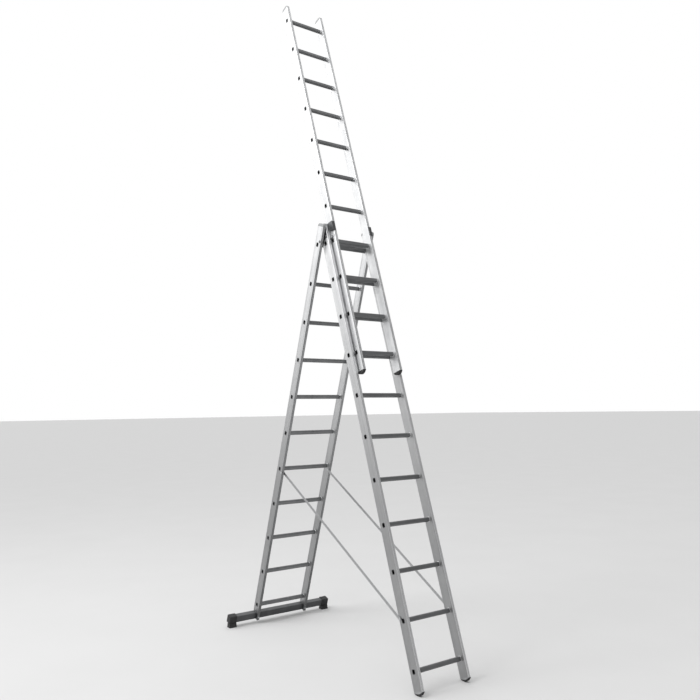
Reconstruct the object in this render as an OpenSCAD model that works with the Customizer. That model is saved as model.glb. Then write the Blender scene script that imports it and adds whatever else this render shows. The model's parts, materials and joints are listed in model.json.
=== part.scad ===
// Three-section aluminium combination ladder.
// It stands as a stepladder, with the rear section folded out and the narrow top section
// run up the front section. Each section is two box stiles joined by swaged tube rungs.
// X runs along the rungs, +Y points from the front feet to the rear feet, +Z is up.
// The origin is on the floor, in the middle of the footprint.

/* [Sections] */
// Distance between neighbouring rungs
rung_pitch = 280; // [250:5:300]
// Outer width of the rear section, the widest one
rear_width = 446; // [446:2:500]
// Depth of a stile, front to back
stile_depth = 73; // [70:1:76]
// Width of a stile, across its narrow face
stile_width = 22; // [22:0.5:22.5]
// Wall of the stile's box section
stile_wall = 1.8; // [1.4:0.1:2]
// Length of stile and end piece beyond the last rung, at the longer end of a section
end_length = 150; // [148:1:155]

/* [Stance] */
// Angle between the front and the rear section
opening_angle = 36.5; // [30:0.5:38]
// Angle by which the front section leans back
front_lean = 17.7; // [16:0.1:19]
// Rungs by which the top section is run out above the front section
steps_out = 7; // [1:1:7]

/* [Rungs] */
// Depth of a rung tube, front to back
rung_depth = 24; // [22:0.5:24]
// Height of a rung tube
rung_height = 28; // [26:0.5:29]
// Wall of the rung tube
rung_wall = 1.6; // [1.2:0.1:2]

/* [Stabiliser] */
// Length of the stabiliser bar over its feet
bar_length = 895; // [800:5:1000]
// Depth of the bar, front to back
bar_side = 40; // [36:1:40]
// Height of the bar
bar_height = 50; // [44:1:50]
// Length of the foot on each end of the bar
bar_foot_length = 60; // [45:1:60]

/* [Braces] */
// Width of a brace bar
brace_width = 18; // [12:1:18]
// Thickness of a brace bar
brace_thickness = 2.5; // [2:0.1:2.6]

/* [Hidden] */
RUNGS = 11;
LEVELS = [for (level = [1:RUNGS]) level];
function rung_name(section, level) = str(section, "_rung_", level < 10 ? "0" : "", level);

LEFT = -1;
RIGHT = 1;
EPS = 0.01;

// Nesting: the front section fits between the rear stiles, and the top section
// between the front stiles. Along the depth, a stile clears the next section's rungs.
side_gap = 7;
slide_gap = 1.5;
section_step = stile_depth / 2 + rung_depth / 2 + slide_gap;
front_width = rear_width - 2 * stile_width - 2 * side_gap;
top_width = front_width - 2 * stile_width - 2 * side_gap;
rear_inner = rear_width / 2 - stile_width;
front_outer = front_width / 2;
front_inner = front_width / 2 - stile_width;
top_outer = top_width / 2;

// Stile ends
rung_span = (RUNGS - 1) * rung_pitch;
end_difference = 20;
short_end = end_length - end_difference;
plug_height = 21;
crown_radius = 20;
sole_height = 22;
sole_radius = 42;
corner_radius = 3;

// Hinge, halfway between the rung planes of the folded front and rear sections
hinge_depth = section_step / 2;
hinge_rise = 24;
hinge_pin_radius = 6;
hinge_plate_thickness = 3;
running_gap = 0.05;
rear_lean = opening_angle - front_lean;

// Rung ends: a bead against the stile's inner face, a flare against its outer face
bead_thickness = 1.8;
bead_margin = 2;
flare_thickness = 1.2;
flare_margin = 1.3;
rung_corner = 7;
hole_gap = 0.1;

// Heights above the floor
foot_centre_drop = rung_span + short_end - sole_radius + hinge_rise;
hinge_height = foot_centre_drop * cos(front_lean) - hinge_depth * sin(front_lean) + sole_radius;

// Stabiliser bar, seen from the top rung of the rear section
bar_gap = 2.5;
bar_centre_y = stile_depth / 2 + bar_gap + bar_side / 2 - section_step;
bar_centre_z = -(rung_span + 90);
cap_wall = 5;
cap_depth = bar_side + 2 * cap_wall;
cap_height = bar_height + 2 * cap_wall;
tongue_depth = 4;
bar_wall = 2;
bar_bolt_radius = 4;
rung_fit_gap = 1.9;

// Footprint, from the front edge of the front sole to the back of the bar's feet
front_reach = (stile_depth / 2 + hinge_depth) * cos(front_lean)
    + (rung_span + short_end - sole_height + hinge_rise) * sin(front_lean);
rear_reach = (bar_centre_y + hinge_depth) * cos(rear_lean)
    + (hinge_rise - bar_centre_z) * sin(rear_lean)
    + cap_depth / 2 * cos(rear_lean) + cap_height / 2 * sin(rear_lean);
hinge_y = (front_reach - rear_reach) / 2;

// Braces, in the gap between the front and the rear stiles
brace_pin_y = -26;
brace_pin_z = -(6 * rung_pitch + 25);
brace_stud_y = 26;
brace_stud_z = -(9 * rung_pitch - 16);
brace_inset = 2.6;
brace_pin_radius = 4;
brace_stud_radius = 4;
brace_pin_pos = in_rear_pos(brace_pin_y, brace_pin_z);
brace_stud_pos = in_front_pos(brace_stud_y, brace_stud_z);
brace_run = brace_stud_pos - brace_pin_pos;
brace_length = norm(brace_run);
brace_angle = atan2(brace_run[1], brace_run[0]);

// Rung hooks, between the front and the top stiles, over the front section's top rung
hook_thickness = 2.5;
hook_outer = top_outer + 1.7 + hook_thickness;
hook_pin_z = 29;
hook_pin_radius = 4;

// Guide brackets, on the inner faces of the front stiles
guide_thickness = 2.5;
lip_gap = 1.5;
lip_width = 22;
guide_front = -section_step - stile_depth / 2 - lip_gap;

// Rivets: [y, z] places on the stile
hinge_rivets = [[-22, 48], [-22, 92], [8, 92]];
guide_rivets = [[-22, 104], [-22, 121]];
rivet_radius = 3;
rivet_head_radius = 5;
rivet_head_height = 1.2;

// A point of the rear or the front section, [y, z] from its top rung, in the ladder's frame
function turned(p, angle) = [p[0] * cos(angle) - p[1] * sin(angle), p[0] * sin(angle) + p[1] * cos(angle)];
function in_rear_pos(y, z) = [hinge_y, hinge_height] + turned([y + hinge_depth, z - hinge_rise], rear_lean);
function in_front_pos(y, z) = [hinge_y, hinge_height] + turned([y - hinge_depth, z - hinge_rise], -front_lean);

// Section frames: the origin is the middle of the section's top rung, Z runs up the stiles
module in_rear() {
    translate([0, hinge_y, hinge_height]) rotate([rear_lean, 0, 0])
        translate([0, hinge_depth, -hinge_rise]) children();
}

module in_front() {
    translate([0, hinge_y, hinge_height]) rotate([-front_lean, 0, 0])
        translate([0, -hinge_depth, -hinge_rise]) children();
}

module in_top() {
    in_front() translate([0, -section_step, steps_out * rung_pitch]) children();
}

// Sub-parts are drawn on the right side, +X, and mirrored for the left
module on_side(side) {
    if (side == RIGHT) children();
    else mirror([1, 0, 0]) children();
}

module both_sides() {
    children();
    mirror([1, 0, 0]) children();
}

// Outlines in Y and Z, extruded along X
module along_x(x_from, x_to) {
    translate([x_from, 0, 0]) rotate([90, 0, 90]) linear_extrude(x_to - x_from) children();
}

module rod(x_from, x_to, radius, y = 0, z = 0) {
    translate([x_from, y, z]) rotate([0, 90, 0]) cylinder(r = radius, h = x_to - x_from, $fn = 48);
}

module rounded_rectangle(width, height, radius) {
    square([width - 2 * radius, height], center = true);
    square([width, height - 2 * radius], center = true);
    for (x = [-1, 1], y = [-1, 1])
        translate([x * (width / 2 - radius), y * (height / 2 - radius)]) circle(r = radius, $fn = 32);
}

// Stiles: a rounded box section with a hole through both walls for each rung
module stile_outline() {
    rounded_rectangle(stile_width, stile_depth, corner_radius);
}

module stile_section() {
    difference() {
        stile_outline();
        rounded_rectangle(stile_width - 2 * stile_wall, stile_depth - 2 * stile_wall, corner_radius - stile_wall / 2);
    }
}

module stile(section_width, z_low, z_high) {
    centre_x = section_width / 2 - stile_width / 2;
    difference() {
        translate([centre_x, 0, z_low]) linear_extrude(z_high - z_low) stile_section();
        for (k = [0:RUNGS - 1])
            translate([0, 0, -k * rung_pitch])
                along_x(centre_x - stile_width, centre_x + stile_width)
                    rounded_rectangle(rung_depth + 2 * hole_gap, rung_height + 2 * hole_gap, rung_corner);
    }
}

module rear_stile(side) {
    notch_top = bar_centre_z + bar_height / 2;
    foot_z = bar_centre_z - bar_height / 2;
    notch_y = tongue_depth - stile_depth / 2;
    outer = rear_width / 2;
    color("gainsboro") in_rear() on_side(side) difference() {
        stile(rear_width, foot_z, end_length - plug_height);
        translate([outer - 2 * stile_width, notch_y, foot_z - EPS])
            cube([3 * stile_width, stile_depth, notch_top - foot_z + EPS]);
        rod(outer - 2 * stile_width, outer + EPS, hinge_pin_radius, -hinge_depth, hinge_rise);
        rod(outer - 2 * stile_width, outer + EPS, brace_pin_radius, brace_pin_y, brace_pin_z);
        translate([outer - stile_width / 2, -stile_depth, bar_centre_z]) rotate([-90, 0, 0])
            cylinder(r = bar_bolt_radius, h = stile_depth, $fn = 48);
    }
}

module front_stile(side) {
    color("gainsboro") in_front() on_side(side) difference() {
        stile(front_width, sole_height - rung_span - short_end, end_length - plug_height);
        rivet_holes(hinge_rivets, front_outer - 2 * stile_wall, front_outer + EPS);
        rivet_holes(guide_rivets, front_inner - EPS, front_inner + 2 * stile_wall);
        rod(front_outer - 2 * stile_wall, front_outer + EPS, brace_stud_radius, brace_stud_y, brace_stud_z);
    }
}

module top_stile(side) {
    color("gainsboro") in_top() on_side(side) difference() {
        stile(top_width, sole_height - rung_span - end_length, short_end - plug_height);
        rod(top_outer - 2 * stile_wall, top_outer + EPS, hook_pin_radius, 0, hook_pin_z - steps_out * rung_pitch);
    }
}

// Rungs: level 1 is the lowest
module rung(section_width, level) {
    z = (level - RUNGS) * rung_pitch;
    outer = section_width / 2;
    inner = outer - stile_width;
    color("silver") translate([0, 0, z]) difference() {
        union() {
            along_x(-outer - flare_thickness, outer + flare_thickness)
                rounded_rectangle(rung_depth, rung_height, rung_corner);
            both_sides() {
                along_x(inner - bead_thickness, inner)
                    rounded_rectangle(rung_depth + 2 * bead_margin, rung_height + 2 * bead_margin,
                        rung_corner + bead_margin);
                along_x(outer, outer + flare_thickness)
                    rounded_rectangle(rung_depth + 2 * flare_margin, rung_height + 2 * flare_margin,
                        rung_corner + flare_margin);
            }
        }
        along_x(-outer - 2 * flare_thickness, outer + 2 * flare_thickness)
            rounded_rectangle(rung_depth - 2 * rung_wall, rung_height - 2 * rung_wall, rung_corner - rung_wall);
    }
}

// End pieces: a plug in the top of each stile, and a rubber sole under it
module plug_pair(section_width, top_end) {
    outer = section_width / 2;
    grip = 30;
    both_sides() {
        intersection() {
            translate([outer - stile_width / 2, 0, top_end - plug_height])
                linear_extrude(plug_height) stile_outline();
            along_x(outer - stile_width, outer) translate([0, top_end - stile_depth / 2])
                rounded_rectangle(stile_depth, stile_depth, crown_radius);
        }
        translate([outer - stile_width / 2, 0, top_end - plug_height - grip])
            linear_extrude(grip)
                rounded_rectangle(stile_width - 2 * stile_wall, stile_depth - 2 * stile_wall,
                    corner_radius - stile_wall / 2);
    }
}

module sole_pair(section_width, low_end) {
    outer = section_width / 2;
    sole_z = -rung_span - low_end;
    grip = 40;
    both_sides() {
        intersection() {
            translate([outer - stile_width / 2, 0, sole_z]) linear_extrude(sole_height) stile_outline();
            rod(outer - stile_width, outer, sole_radius, 0, sole_z + sole_radius);
        }
        translate([outer - stile_width / 2, 0, sole_z + sole_height])
            linear_extrude(grip)
                rounded_rectangle(stile_width - 2 * stile_wall, stile_depth - 2 * stile_wall,
                    corner_radius - stile_wall / 2);
    }
}

module rear_top_plugs() {
    color("darkgray") in_rear() plug_pair(rear_width, end_length);
}

module front_top_plugs() {
    color("darkgray") in_front() plug_pair(front_width, end_length);
}

module top_section_plugs() {
    color("darkgray") in_top() plug_pair(top_width, short_end);
}

module front_feet() {
    color("#222222") in_front() sole_pair(front_width, short_end);
}

module top_section_feet() {
    color("#222222") in_top() sole_pair(top_width, end_length);
}

// Stabiliser: a square tube in notches at the foot of the rear stiles
module bar_bolt_holes() {
    for (side = [LEFT, RIGHT])
        translate([side * (rear_width / 2 - stile_width / 2), -stile_depth, bar_centre_z])
            rotate([-90, 0, 0]) cylinder(r = bar_bolt_radius, h = 2 * stile_depth, $fn = 48);
}

module stabiliser_bar() {
    reach = bar_length / 2 - cap_wall;
    color("#4d4d4d") in_rear() difference() {
        translate([0, bar_centre_y, bar_centre_z]) difference() {
            along_x(-reach, reach) rounded_rectangle(bar_side, bar_height, corner_radius);
            along_x(-reach - EPS, reach + EPS)
                rounded_rectangle(bar_side - 2 * bar_wall, bar_height - 2 * bar_wall,
                    corner_radius - bar_wall / 2);
        }
        bar_bolt_holes();
    }
}

module stabiliser_feet() {
    bar_pos = in_rear_pos(bar_centre_y, bar_centre_z);
    end_x = bar_length / 2;
    pad_half = 24;
    color("#222222") both_sides() difference() {
        union() {
            in_rear() translate([0, bar_centre_y, bar_centre_z])
                along_x(end_x - bar_foot_length, end_x) rounded_rectangle(cap_depth, cap_height, 2 * corner_radius);
            translate([end_x - bar_foot_length, bar_pos[0] - pad_half, 0])
                cube([bar_foot_length, 2 * pad_half, bar_pos[1]]);
        }
        in_rear() translate([0, bar_centre_y, bar_centre_z])
            along_x(end_x - bar_foot_length - EPS, end_x - cap_wall)
                rounded_rectangle(bar_side, bar_height, corner_radius);
    }
}

// Steel inserts in the stiles, which reach down in front of the bar
module stabiliser_brackets() {
    insert_width = stile_width - 2 * stile_wall - 0.4;
    insert_back = bar_centre_y - bar_side / 2;
    insert_front = tongue_depth - stile_depth / 2;
    insert_length = 130;
    color("dimgray") in_rear() difference() {
        both_sides() translate([rear_width / 2 - stile_width / 2 - insert_width / 2, insert_front,
            bar_centre_z - bar_height / 2])
            cube([insert_width, insert_back - insert_front - rung_fit_gap, insert_length]);
        bar_bolt_holes();
    }
}

// Bolts: two through the bar, and two in the stiles that the braces turn on
module rear_section_bolts() {
    centre_x = rear_width / 2 - stile_width / 2;
    bolt_start = -stile_depth / 2;
    bolt_end = bar_centre_y + bar_side / 2;
    brace_outer = rear_inner - brace_inset;
    color("dimgray") in_rear() both_sides() {
        translate([centre_x, bolt_start - 5, bar_centre_z]) rotate([-90, 0, 0]) {
            cylinder(r = 7, h = 5, $fn = 6);
            cylinder(r = bar_bolt_radius, h = bolt_end - bolt_start + 14, $fn = 48);
        }
        translate([centre_x, bolt_end, bar_centre_z]) rotate([-90, 0, 0]) cylinder(r = 7, h = 6, $fn = 6);
        rod(brace_outer - brace_thickness - 0.2, rear_width / 2 + 3, brace_pin_radius, brace_pin_y, brace_pin_z);
        rod(rear_width / 2, rear_width / 2 + 3, 7.5, brace_pin_y, brace_pin_z);
        rod(brace_outer - brace_thickness - 1, brace_outer - brace_thickness - 0.2, 7, brace_pin_y, brace_pin_z);
        rod(brace_outer + 0.2, rear_inner, 7, brace_pin_y, brace_pin_z);
    }
}

// Hinge: a steel plate on each front stile turns on a pin through the rear stile
module rivet_holes(places, x_from, x_to) {
    for (place = places)
        rod(x_from, x_to, rivet_radius, place[0], place[1]);
}

module hinge_plate(side) {
    color("dimgray") in_front() on_side(side) difference() {
        along_x(front_outer, front_outer + hinge_plate_thickness) {
            translate([hinge_depth, hinge_rise]) circle(r = 13, $fn = 64);
            polygon([[-31, 36], [12, 31], [37, 29], [37, 62], [20, 104], [-31, 104]]);
        }
        rod(front_outer - EPS, front_outer + 2 * hinge_plate_thickness,
            hinge_pin_radius + running_gap, hinge_depth, hinge_rise);
        rivet_holes(hinge_rivets, front_outer - EPS, front_outer + 2 * hinge_plate_thickness);
    }
}

module hinge_pins() {
    plate_face = front_outer + hinge_plate_thickness;
    color("dimgray") in_rear() both_sides() {
        rod(front_outer + 0.3, rear_width / 2 + 4, hinge_pin_radius, -hinge_depth, hinge_rise);
        rod(rear_width / 2, rear_width / 2 + 4, 10, -hinge_depth, hinge_rise);
        rod(plate_face + 0.3, rear_inner, 10, -hinge_depth, hinge_rise);
    }
}

// Guide brackets: a side plate beside the top section's stile, and a lip round its front edge
module guide_bracket(side) {
    color("dimgray") in_front() on_side(side) difference() {
        union() {
            along_x(front_inner - guide_thickness, front_inner)
                polygon([[-8, 98], [-8, 142], [-36, 142], [guide_front - guide_thickness, 136],
                    [guide_front - guide_thickness, 66], [-62, 66], [-36, 90]]);
            along_x(front_inner - lip_width, front_inner)
                polygon([[guide_front - guide_thickness, 66], [guide_front, 66],
                    [guide_front, 136], [guide_front - guide_thickness, 136]]);
        }
        rivet_holes(guide_rivets, front_inner - 2 * guide_thickness, front_inner + EPS);
    }
}

module rivets(places, face_x, grip) {
    for (place = places) {
        rod(face_x, face_x + rivet_head_height, rivet_head_radius, place[0], place[1]);
        rod(face_x - grip, face_x, rivet_radius, place[0], place[1]);
    }
}

module front_section_rivets() {
    color("silver") in_front() both_sides() {
        rivets(hinge_rivets, front_outer + hinge_plate_thickness, hinge_plate_thickness + stile_wall);
        translate([2 * (front_inner - guide_thickness), 0, 0]) mirror([1, 0, 0])
            rivets(guide_rivets, front_inner - guide_thickness, guide_thickness + stile_wall);
    }
}

// Rung hooks: a plate pinned to each top stile, which rests on a rung of the front section
module rung_hook(side) {
    bar_low = rung_height / 2 + 0.5;
    bar_high = 31;
    prong_y = rung_depth / 2 + 0.8;
    prong_low = -12;
    prong_back = 24;
    color("dimgray") in_front() on_side(side) difference() {
        along_x(hook_outer - hook_thickness, hook_outer) {
            translate([-section_step, hook_pin_z]) circle(r = 11, $fn = 64);
            polygon([[-section_step, hook_pin_z - 11], [-30, bar_low], [prong_y, bar_low], [prong_y, prong_low],
                [prong_back, prong_low], [prong_back, bar_high - 6], [prong_back - 6, bar_high],
                [-30, bar_high], [-section_step, hook_pin_z + 11]]);
        }
        rod(hook_outer - 2 * hook_thickness, hook_outer + hook_thickness,
            hook_pin_radius + running_gap, -section_step, hook_pin_z);
    }
}

module rung_hook_pins() {
    color("silver") in_front() both_sides() translate([0, -section_step, hook_pin_z]) {
        rod(top_outer - stile_wall, hook_outer + 0.3, hook_pin_radius);
        rod(hook_outer + 0.3, hook_outer + 1.5, 7);
        rod(top_outer, hook_outer - hook_thickness - 0.3, 7);
    }
}

// Braces: flat bars that turn on the rear stiles and hook over studs on the front stiles
module brace(side) {
    brace_outer = rear_inner - brace_inset;
    eye_radius = 11;
    hook_radius = 12;
    mouth = brace_stud_radius + 0.3;
    color("darkgray") on_side(side) difference() {
        translate([0, brace_pin_pos[0], brace_pin_pos[1]]) rotate([brace_angle, 0, 0])
            along_x(brace_outer - brace_thickness, brace_outer) difference() {
                union() {
                    circle(r = eye_radius, $fn = 64);
                    translate([0, -brace_width / 2]) square([brace_length, brace_width]);
                    translate([brace_length, 0]) circle(r = hook_radius, $fn = 64);
                }
                translate([brace_length, 0]) circle(r = mouth, $fn = 48);
                translate([brace_length - mouth, 0]) square([2 * mouth, 2 * hook_radius]);
            }
        rod(brace_outer - 2 * brace_thickness, brace_outer + brace_thickness,
            brace_pin_radius + running_gap, brace_pin_pos[0], brace_pin_pos[1]);
    }
}

module brace_hook_studs() {
    shank_end = rear_inner - brace_inset + 0.3;
    color("dimgray") in_front() both_sides() {
        rod(front_outer - stile_wall, shank_end, brace_stud_radius, brace_stud_y, brace_stud_z);
        rod(shank_end, shank_end + 1.4, 7, brace_stud_y, brace_stud_z);
    }
}

for (level = LEVELS) {
    in_rear() rung(rear_width, level);
    in_front() rung(front_width, level);
    in_top() rung(top_width, level);
}
rear_stile(LEFT);  // rear_stile_left
rear_stile(RIGHT);  // rear_stile_right
rear_top_plugs();
rear_section_bolts();
stabiliser_bar();
stabiliser_feet();
stabiliser_brackets();
front_stile(LEFT);  // front_stile_left
front_stile(RIGHT);  // front_stile_right
front_top_plugs();
front_feet();
front_section_rivets();
hinge_plate(LEFT);  // hinge_plate_left
hinge_plate(RIGHT);  // hinge_plate_right
hinge_pins();
guide_bracket(LEFT);  // guide_bracket_left
guide_bracket(RIGHT);  // guide_bracket_right
brace_hook_studs();
top_stile(LEFT);  // top_stile_left
top_stile(RIGHT);  // top_stile_right
top_section_plugs();
top_section_feet();
rung_hook_pins();
rung_hook(LEFT);  // rung_hook_left
rung_hook(RIGHT);  // rung_hook_right
brace(LEFT);  // brace_left
brace(RIGHT);  // brace_right
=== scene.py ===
import json
import math

import bmesh
import bpy
from mathutils import Matrix, Vector


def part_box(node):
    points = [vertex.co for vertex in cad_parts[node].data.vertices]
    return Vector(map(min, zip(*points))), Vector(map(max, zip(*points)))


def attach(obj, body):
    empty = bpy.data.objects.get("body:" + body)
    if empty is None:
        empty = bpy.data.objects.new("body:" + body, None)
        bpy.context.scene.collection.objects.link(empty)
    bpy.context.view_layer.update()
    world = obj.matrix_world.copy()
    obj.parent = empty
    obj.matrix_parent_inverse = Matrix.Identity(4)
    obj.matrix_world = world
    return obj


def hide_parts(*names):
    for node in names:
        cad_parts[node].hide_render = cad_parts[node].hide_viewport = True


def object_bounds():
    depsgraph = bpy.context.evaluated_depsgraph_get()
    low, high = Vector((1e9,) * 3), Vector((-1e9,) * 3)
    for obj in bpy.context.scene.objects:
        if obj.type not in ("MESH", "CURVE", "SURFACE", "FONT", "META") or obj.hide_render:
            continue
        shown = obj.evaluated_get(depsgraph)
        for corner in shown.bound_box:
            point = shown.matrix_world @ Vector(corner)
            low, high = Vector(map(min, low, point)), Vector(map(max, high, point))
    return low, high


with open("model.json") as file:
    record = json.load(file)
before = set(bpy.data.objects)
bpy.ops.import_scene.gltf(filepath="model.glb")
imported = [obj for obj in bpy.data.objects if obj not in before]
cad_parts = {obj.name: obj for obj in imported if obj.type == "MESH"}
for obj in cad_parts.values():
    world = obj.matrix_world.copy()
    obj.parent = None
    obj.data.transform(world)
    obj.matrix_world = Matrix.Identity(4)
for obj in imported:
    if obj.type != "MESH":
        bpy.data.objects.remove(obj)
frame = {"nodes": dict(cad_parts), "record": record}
cad_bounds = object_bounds()

# Sizes are millimetres in a section's own frame: the origin is the middle of its top rung,
# X runs along the rungs, Y points to the rear and Z runs up the section. Meshes are in metres.
MM = 0.001
RUNGS = 11
SECTIONS = ("rear", "front", "top")
SIDES = {"left": -1, "right": 1}
BODY = {section: f"{section}_section" for section in SECTIONS}


# ---------------------------------------------------------------- places read from the CAD part


def centre(node):
    low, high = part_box(node)
    return (low + high) / 2


def section_matrix(section):
    """The frame of a section, from the middles of its top and bottom rungs."""
    top_rung = centre(f"{section}_rung_{RUNGS:02d}")
    up = (top_rung - centre(f"{section}_rung_01")).normalized()
    across = Vector((1, 0, 0))
    rotation = Matrix((across, up.cross(across), up)).transposed()
    return Matrix.Translation(top_rung) @ rotation.to_4x4()


MATRIX = {section: section_matrix(section) for section in SECTIONS}


def local_box(node, section):
    """Lowest and highest corner of a CAD node in a section's frame, in millimetres."""
    inverse = MATRIX[section].inverted()
    points = [inverse @ v.co / MM for v in frame["nodes"][node].data.vertices]
    low = Vector([min(p[axis] for p in points) for axis in range(3)])
    high = Vector([max(p[axis] for p in points) for axis in range(3)])
    return low, high


def rung_height(section, level):
    """How far up the section a rung's middle is."""
    return (MATRIX[section].inverted() @ centre(f"{section}_rung_{level:02d}")).z / MM


STILE = {section: local_box(f"{section}_stile_right", section) for section in SECTIONS}
STILE_WIDTH = STILE["front"][1].x - STILE["front"][0].x
STILE_DEPTH = STILE["front"][1].y - STILE["front"][0].y
STILE_WALL = 1.8
STILE_CORNER = 3.0
RUNG_LOW, RUNG_HIGH = local_box(f"rear_rung_{RUNGS:02d}", "rear")


# ---------------------------------------------------------------- mesh helpers


def loft(rings, wrap=False):
    """Quads between rings of equally many points, with capped ends or joined end to end."""
    count = len(rings[0])
    points = [Vector(p) for ring in rings for p in ring]
    faces = []
    for i in range(len(rings) if wrap else len(rings) - 1):
        here = i * count
        there = (i + 1) % len(rings) * count
        for j in range(count):
            k = (j + 1) % count
            faces.append((here + j, here + k, there + k, there + j))
    if not wrap:
        faces.append(tuple(range(count)))
        faces.append(tuple(range(len(points) - count, len(points))))
    return points, faces


def merged(*shapes):
    points = []
    faces = []
    for more_points, more_faces in shapes:
        start = len(points)
        points += more_points
        faces += [tuple(start + i for i in face) for face in more_faces]
    return points, faces


def placed(shape, matrix):
    points, faces = shape
    return [matrix @ p for p in points], faces


def at(x=0.0, y=0.0, z=0.0):
    return Matrix.Translation((x, y, z))


def along_x(outline, x_from, x_to):
    """A solid with a (y, z) outline between two places on X."""
    return loft([[(x, y, z) for y, z in outline] for x in (x_from, x_to)])


def box_shape(low, high):
    outline = [(low[1], low[2]), (high[1], low[2]), (high[1], high[2]), (low[1], high[2])]
    return along_x(outline, low[0], high[0])


def turned_shape(profile, steps=48):
    """A turned solid about X from (x, radius) pairs."""
    rings = []
    for x, radius in profile:
        angles = [2 * math.pi * i / steps for i in range(steps)]
        rings.append([(x, radius * math.cos(angle), radius * math.sin(angle)) for angle in angles])
    return loft(rings)


def arc(cy, cz, radius, start, end, steps=10):
    """Points on an arc; angles are in degrees."""
    angles = [math.radians(start + (end - start) * i / steps) for i in range(steps + 1)]
    return [(cy + radius * math.cos(a), cz + radius * math.sin(a)) for a in angles]


def rounded_polygon(corners, steps=5):
    """An outline from (y, z, radius) corners, each one an arc of its radius."""
    outline = []
    for i, (y, z, radius) in enumerate(corners):
        here = Vector((y, z))
        if radius == 0:
            outline.append((y, z))
            continue
        before = (Vector(corners[i - 1][:2]) - here).normalized()
        after = (Vector(corners[(i + 1) % len(corners)][:2]) - here).normalized()
        half = before.angle(after) / 2
        middle = here + (before + after).normalized() * radius / math.sin(half)
        start = here + before * radius / math.tan(half) - middle
        end = here + after * radius / math.tan(half) - middle
        first = math.atan2(start.y, start.x)
        turn = (math.atan2(end.y, end.x) - first + math.pi) % (2 * math.pi) - math.pi
        for k in range(steps + 1):
            angle = first + turn * k / steps
            outline.append((middle.x + radius * math.cos(angle), middle.y + radius * math.sin(angle)))
    return outline


def rounded_rectangle(width, height, radius, steps=6):
    a, b = width / 2, height / 2
    return rounded_polygon([(a, b, radius), (-a, b, radius), (-a, -b, radius), (a, -b, radius)], steps)


def make_object(name, shape, matrix, side=1):
    points, faces = shape
    mesh = bpy.data.meshes.new(name)
    mesh.from_pydata([(p[0] * side * MM, p[1] * MM, p[2] * MM) for p in points], [], faces)
    bm = bmesh.new()
    bm.from_mesh(mesh)
    bmesh.ops.recalc_face_normals(bm, faces=bm.faces)
    bm.to_mesh(mesh)
    bm.free()
    obj = bpy.data.objects.new(name, mesh)
    bpy.context.scene.collection.objects.link(obj)
    obj.matrix_world = matrix
    return obj


def apply_modifiers(obj):
    bpy.context.view_layer.update()
    graph = bpy.context.evaluated_depsgraph_get()
    obj.data = bpy.data.meshes.new_from_object(obj.evaluated_get(graph))
    obj.modifiers.clear()


def combine(obj, shape, matrix, side=1, operation="DIFFERENCE"):
    """Cuts a shape from a piece, or joins it on."""
    tool = make_object(obj.name + "_tool", shape, matrix, side)
    modifier = obj.modifiers.new("combine", "BOOLEAN")
    modifier.operation = operation
    modifier.solver = "EXACT"
    modifier.object = tool
    apply_modifiers(obj)
    bpy.data.objects.remove(tool)


def soften(obj, bevel=0.0, segments=2, sharp_angle=36):
    """Rounds a piece's edges by a width in millimetres and shades it smooth between them."""
    if bevel:
        modifier = obj.modifiers.new("edges", "BEVEL")
        modifier.width = bevel * MM
        modifier.segments = segments
        modifier.limit_method = "ANGLE"
        modifier.angle_limit = math.radians(32)
        apply_modifiers(obj)
    obj.data.shade_smooth()
    obj.data.set_sharp_from_angle(angle=math.radians(sharp_angle))
    modifier = obj.modifiers.new("normals", "WEIGHTED_NORMAL")
    modifier.keep_sharp = True
    apply_modifiers(obj)


def finish_piece(obj, body, material, nodes=()):
    obj.data.materials.clear()
    obj.data.materials.append(material)
    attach(obj, body)
    if nodes:
        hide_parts(*nodes)
    return obj


def make_small_piece(name, shape, section, side, material, node):
    """A plug, bolt, pin or rivet that stays on a section."""
    obj = make_object(name, shape, MATRIX[section], side)
    soften(obj, sharp_angle=30)
    finish_piece(obj, BODY[section], material, [node])


# ---------------------------------------------------------------- materials


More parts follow.
